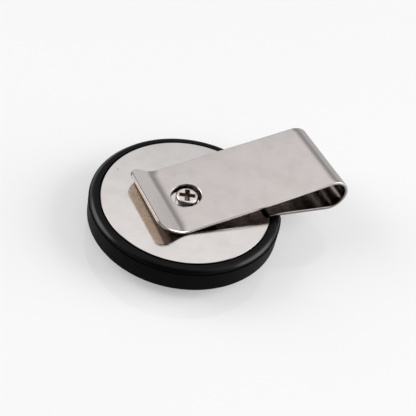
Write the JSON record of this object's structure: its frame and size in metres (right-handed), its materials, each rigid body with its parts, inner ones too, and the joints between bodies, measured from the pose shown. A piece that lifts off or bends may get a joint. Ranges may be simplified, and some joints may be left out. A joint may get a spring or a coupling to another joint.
{
  "type": "belt-clip chalk holder",
  "caption": "Round magnetic holder for cue chalk: black ring round a pot magnet, polished steel back plate and a folded spring-steel belt clip held by a cross-head screw.",
  "frame": {"origin": "centre of the magnet's face, on which the holder lies", "axes": "+Z out of the back plate along the screw's axis, +X from the screw towards the nose of the clip"},
  "size_m": [0.0608, 0.0452, 0.0148],
  "materials": {
    "ring_black": "matte black wall with a glossy rounded bead",
    "polished_steel": "polished, faint hairline scratches",
    "clip_steel": "polished spring steel with bright sheared edges",
    "screw_nickel": "bright nickel plating",
    "pot_coating": "black coated pressed steel",
    "magnet": "ground dark grey",
    "resin": "cast black resin"
  },
  "bodies": {
    "holder": {"magnet_pot": "pot_coating", "resin_fill": "resin", "magnet_disc": "magnet", "holder_ring": "ring_black", "back_plate": "polished_steel", "clip_base": "clip_steel", "clip_screw": "screw_nickel"},
    "arm": {"clip_arm": "clip_steel"}
  },
  "joints": [
    {"name": "clip_flex", "type": "hinge", "parent": "holder", "child": "arm", "pos_m": [0.03825, 0, 0.00996], "axis": [0, 1, 0], "range_deg": [0, 8], "stiffness_Nm_per_rad": 5, "springref_deg": -2.29}
  ]
}
